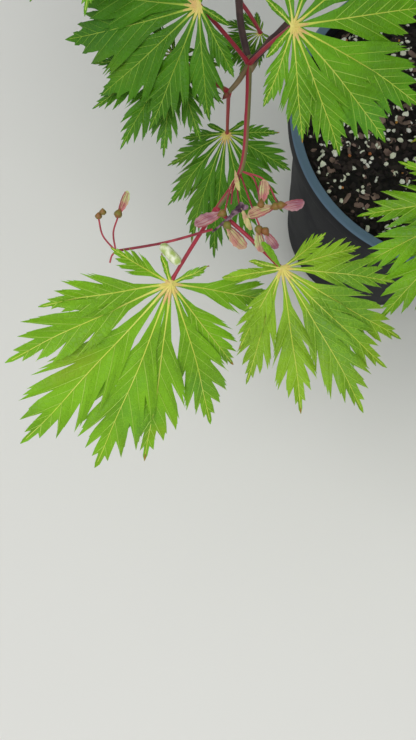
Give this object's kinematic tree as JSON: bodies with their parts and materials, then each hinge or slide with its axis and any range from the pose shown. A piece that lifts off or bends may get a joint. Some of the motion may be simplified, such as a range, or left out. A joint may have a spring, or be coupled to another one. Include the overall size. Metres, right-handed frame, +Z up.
{
  "type": "young full-moon maple tree in a plastic nursery pot",
  "caption": "Young maple in a round plastic nursery pot, a slim branching trunk and a wide airy crown of large fernlike fan leaves, with small clusters of winged fruit.",
  "frame": {"origin": "middle of the pot's flat underside, on the floor", "axes": "+Z up along the pot's axis; -Y towards the side the low shoot and its fruit reach over; -X towards the low shoot; +X right"},
  "size_m": [0.8854, 0.8291, 0.8394],
  "materials": {
    "pot_plastic": "satin",
    "potting_mix": "rough",
    "bark": "smooth young bark",
    "foliage": "matte leaf"
  },
  "bodies": {
    "root": {"pot": "pot_plastic", "potting_mix": "potting_mix", "trunk": "bark", "bough_left": "bark", "bough_right": "bark", "bough_back": "bark", "bough_front": "bark", "bough_back_right": "bark", "bough_back_left": "bark", "bough_upper_front": "bark", "bough_upper_left": "bark", "foliage_front_left": "foliage", "foliage_left": "foliage", "foliage_right": "foliage", "foliage_back": "foliage", "foliage_front": "foliage", "foliage_back_right": "foliage", "foliage_back_left": "foliage", "foliage_upper_front": "foliage", "foliage_upper_left": "foliage", "foliage_top": "foliage"}
  },
  "joints": []
}
